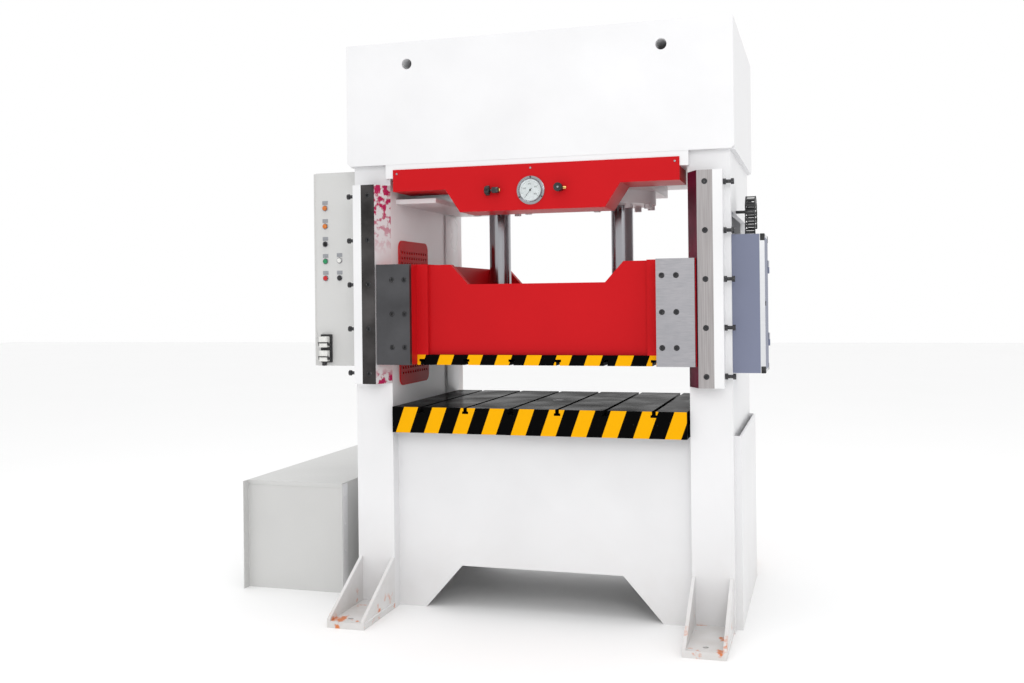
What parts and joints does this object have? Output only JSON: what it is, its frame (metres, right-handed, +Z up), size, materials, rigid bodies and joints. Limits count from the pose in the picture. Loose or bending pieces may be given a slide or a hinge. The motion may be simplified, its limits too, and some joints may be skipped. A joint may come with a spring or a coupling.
{
  "type": "hydraulic press",
  "caption": "Upright two-column hydraulic press: white welded frame, red guided slide, T-slotted table, side control cabinet, terminal box and floor-standing power unit.",
  "frame": {"origin": "on the floor at the centre of the four foundation bolts, on the press's centre plane", "axes": "+X to the right seen from the operator's side, +Y from front to back, +Z up along the slide's travel"},
  "size_m": [2.6575, 1.961, 2.713],
  "materials": {
    "white_paint": "semi-gloss enamel",
    "red_paint": "semi-gloss enamel",
    "grey_paint": "fine textured powder coat",
    "blue_grey_paint": "fine textured powder coat",
    "ground_steel": "ground, lightly oiled",
    "black_screw": "black oxide",
    "table_steel": "planed and oiled, black",
    "chromed": "hard chrome, polished",
    "cast": "as cast, painted",
    "black_plastic": "matt",
    "profile": "anodised",
    "orange_lens": "clear orange",
    "green_cap": "gloss",
    "red_cap": "gloss",
    "white_cap": "gloss",
    "dial_face": "matt white",
    "glass": "clear"
  },
  "bodies": {
    "frame": {"crown_face_plates": "white_paint", "crown_side_plates": "white_paint", "crown_top_plate": "white_paint", "lifting_tubes": "white_paint", "crown_bottom_plate": "white_paint", "cylinder_mounting_plate": "white_paint", "upper_side_ledge": "white_paint", "right_column": "white_paint", "left_column": "white_paint", "bed_face_plates": "white_paint", "bed_ribs": "white_paint", "bed_side_covers": "white_paint", "foot_brackets": "white_paint", "table_plate": "table_steel", "table_plug": "ground_steel", "guide_rails": "ground_steel", "gib_holders": "white_paint", "rail_screws": "black_screw", "jack_screws": "black_screw", "cylinder_tubes": "white_paint", "gland_flanges": "white_paint", "gland_bolts": "white_paint", "cylinder_cover": "red_paint", "gauge_case": "chromed", "gauge_dial": "dial_face", "gauge_glass": "glass", "valve_bodies": "black_screw", "vent_grille": "red_paint", "cabinet_body": "grey_paint", "side_box_body": "blue_grey_paint", "side_box_rim": "profile", "cable_chain": "black_plastic", "power_unit_housing": "grey_paint", "power_unit_base": "grey_paint", "oil_tank": "grey_paint", "pump_motor": "cast", "hydraulic_pump": "cast", "valve_manifold": "ground_steel", "hydraulic_pipes": "ground_steel"},
    "slide": {"slide_face_plates": "red_paint", "slide_side_plates": "red_paint", "slide_platen": "table_steel", "slide_inner_frame": "red_paint", "slide_shoes": "red_paint", "wear_plates": "ground_steel", "wear_plate_screws": "black_screw", "piston_rods": "chromed"},
    "door_panel": {"cabinet_door": "grey_paint", "button_bezels": "chromed", "indicator_lamps": "orange_lens", "connector_module": "black_plastic"},
    "switch": {"selector_switch": "black_plastic"},
    "green_button": {"green_button": "green_cap"},
    "white_button": {"white_button": "white_cap"},
    "red_button": {"red_button": "red_cap"},
    "black_button": {"black_button": "black_plastic"},
    "needle": {"gauge_needle": "black_screw"},
    "star_knob": {"valve_knob_left": "black_plastic"},
    "round_knob": {"valve_knob_right": "black_plastic"},
    "box_lid": {"side_box_door": "blue_grey_paint"}
  },
  "joints": [
    {"name": "slide_travel", "type": "slide", "parent": "frame", "child": "slide", "axis": [0, 0, 1], "range_m": [-0.175, 0.29]},
    {"name": "cabinet_door_hinge", "type": "hinge", "parent": "frame", "child": "door_panel", "pos_m": [-1.173, -0.392, 1.6425], "axis": [0, 0, -1], "range_deg": [0, 110]},
    {"name": "switch_turn", "type": "hinge", "parent": "door_panel", "child": "switch", "pos_m": [-1.119, -0.3955, 1.769], "axis": [0, 1, 0], "range_deg": [-45, 45]},
    {"name": "needle_turn", "type": "hinge", "parent": "frame", "child": "needle", "pos_m": [0, -0.5555, 1.982], "axis": [0, 1, 0], "range_deg": [0, 270], "stiffness_Nm_per_rad": 0.003, "springref_deg": -17.19},
    {"name": "star_knob_turn", "type": "hinge", "parent": "frame", "child": "star_knob", "pos_m": [-0.2, -0.5835, 1.986], "axis": [1, 0, 0], "range_deg": [0, 720]},
    {"name": "round_knob_turn", "type": "hinge", "parent": "frame", "child": "round_knob", "pos_m": [0.142, -0.6055, 1.986], "axis": [0, 1, 0], "range_deg": [0, 720]},
    {"name": "side_box_hinge", "type": "hinge", "parent": "frame", "child": "box_lid", "pos_m": [1.044, -0.2395, 1.4515], "axis": [0, 0, 1], "range_deg": [0, 110]},
    {"name": "green_button_press", "type": "slide", "parent": "door_panel", "child": "green_button", "axis": [0, 1, 0], "range_m": [0, 0.0035], "stiffness_N_per_m": 800, "springref_m": -0.003},
    {"name": "white_button_press", "type": "slide", "parent": "door_panel", "child": "white_button", "axis": [0, 1, 0], "range_m": [0, 0.0035], "stiffness_N_per_m": 800, "springref_m": -0.003},
    {"name": "red_button_press", "type": "slide", "parent": "door_panel", "child": "red_button", "axis": [0, 1, 0], "range_m": [0, 0.0035], "stiffness_N_per_m": 800, "springref_m": -0.003},
    {"name": "black_button_press", "type": "slide", "parent": "door_panel", "child": "black_button", "axis": [0, 1, 0], "range_m": [0, 0.0035], "stiffness_N_per_m": 800, "springref_m": -0.003}
  ]
}
